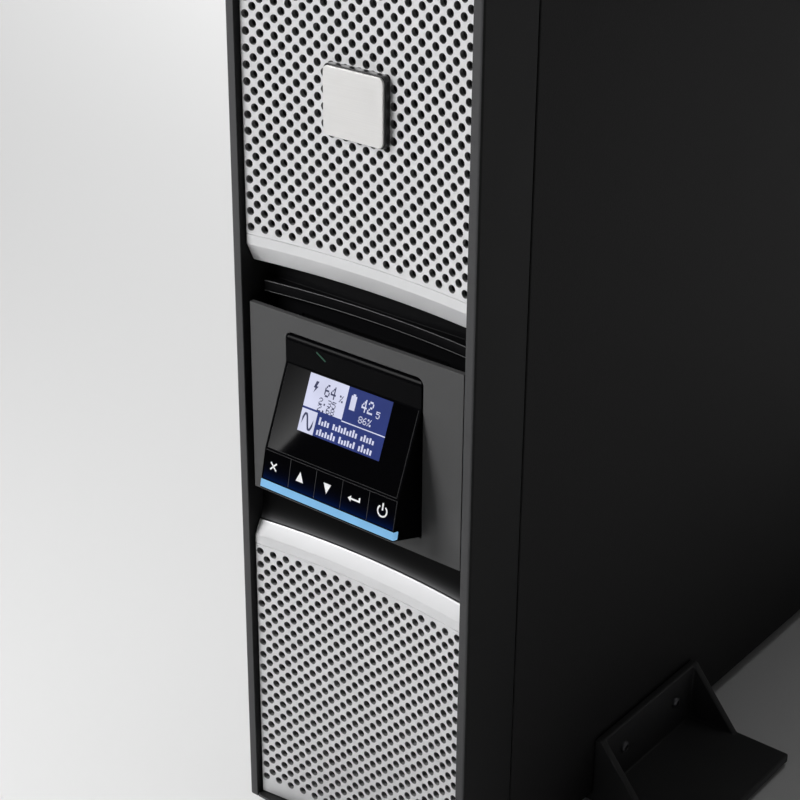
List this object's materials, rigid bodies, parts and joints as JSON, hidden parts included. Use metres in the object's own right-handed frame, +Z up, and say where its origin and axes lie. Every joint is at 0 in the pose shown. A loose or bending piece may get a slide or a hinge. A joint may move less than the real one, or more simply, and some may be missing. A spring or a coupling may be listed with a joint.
{
  "type": "online uninterruptible power supply",
  "caption": "Tower power supply with a dark bezel, concave perforated silver grilles, a tilting display pod with press keys, sheet steel case and feet.",
  "frame": {"origin": "on the floor, under the middle of the box that holds the whole unit", "axes": "+Z up, the front with the display faces -Y, +X to the right seen from the front"},
  "size_m": [0.25, 0.72, 0.447],
  "materials": {
    "bezel_plastic": "fine moulded texture, near black",
    "bay_plastic": "black, half gloss",
    "grille_silver": "silver paint on moulded plastic, satin",
    "filter_foam": "open black foam",
    "plate_plastic": "charcoal, matte",
    "pod_plastic": "piano black",
    "lens": "polished black acrylic",
    "display": "back-lit blue display",
    "key_plastic": "black, half gloss, white symbols",
    "light_strip": "translucent blue diffuser, lit from behind",
    "badge_base": "black, ribbed edge",
    "badge_plate": "fine brushed silver, bare",
    "case_paint": "black textured powder coat",
    "battery": "hidden inside",
    "electronics": "hidden inside",
    "fan_plastic": "black glass-filled plastic",
    "guard_wire": "bright wire",
    "socket_plastic": "black moulded plastic",
    "cover_paint": "black powder coat",
    "stand_plastic": "black moulded plastic",
    "pad_rubber": "soft black rubber"
  },
  "bodies": {
    "root": {"badge_base": "badge_base", "badge_plate": "badge_plate", "battery_connector": "socket_plastic", "battery_pack": "battery", "bay_back": "bay_plastic", "bezel_bottom_cap": "bezel_plastic", "bezel_left_rail": "bezel_plastic", "bezel_right_rail": "bezel_plastic", "bezel_top_cap": "bezel_plastic", "bottom_panel": "case_paint", "breaker": "socket_plastic", "breaker_toggle": "socket_plastic", "card_slot_cover": "cover_paint", "control_plate": "plate_plastic", "dust_filters": "filter_foam", "fan_frames": "fan_plastic", "fan_guards": "guard_wire", "fan_rotors": "fan_plastic", "front_bulkhead": "case_paint", "front_pads": "pad_rubber", "front_stand_left": "stand_plastic", "front_stand_right": "stand_plastic", "left_side_panel": "case_paint", "lower_grille": "grille_silver", "outlets": "socket_plastic", "pod_well": "bay_plastic", "port_block": "socket_plastic", "power_stack": "electronics", "rear_pads": "pad_rubber", "rear_panel": "case_paint", "rear_stand_left": "stand_plastic", "rear_stand_right": "stand_plastic", "right_side_panel": "case_paint", "terminal_cover": "cover_paint", "top_panel": "case_paint", "upper_grille": "grille_silver"},
    "lcd_pod": {"pod_housing": "pod_plastic", "screen_lens": "lens", "display_panel": "display", "light_bar": "light_strip"},
    "key_escape": {"key_escape": "key_plastic"},
    "key_up": {"key_up": "key_plastic"},
    "key_down": {"key_down": "key_plastic"},
    "key_enter": {"key_enter": "key_plastic"},
    "key_power": {"key_power": "key_plastic"}
  },
  "joints": [
    {"name": "pod_tilt", "type": "hinge", "parent": "root", "child": "lcd_pod", "pos_m": [0, -0.3381, 0.2605], "axis": [-1, 0, 0], "range_deg": [-22, 23]},
    {"name": "key_escape_press", "type": "slide", "parent": "lcd_pod", "child": "key_escape", "axis": [0, 0.9781, -0.2079], "range_m": [0, 0.0006], "stiffness_N_per_m": 900, "springref_m": -0.0004},
    {"name": "key_up_press", "type": "slide", "parent": "lcd_pod", "child": "key_up", "axis": [0, 0.9781, -0.2079], "range_m": [0, 0.0006], "stiffness_N_per_m": 900, "springref_m": -0.0004},
    {"name": "key_down_press", "type": "slide", "parent": "lcd_pod", "child": "key_down", "axis": [0, 0.9781, -0.2079], "range_m": [0, 0.0006], "stiffness_N_per_m": 900, "springref_m": -0.0004},
    {"name": "key_enter_press", "type": "slide", "parent": "lcd_pod", "child": "key_enter", "axis": [0, 0.9781, -0.2079], "range_m": [0, 0.0006], "stiffness_N_per_m": 900, "springref_m": -0.0004},
    {"name": "key_power_press", "type": "slide", "parent": "lcd_pod", "child": "key_power", "axis": [0, 0.9781, -0.2079], "range_m": [0, 0.0006], "stiffness_N_per_m": 900, "springref_m": -0.0004}
  ]
}
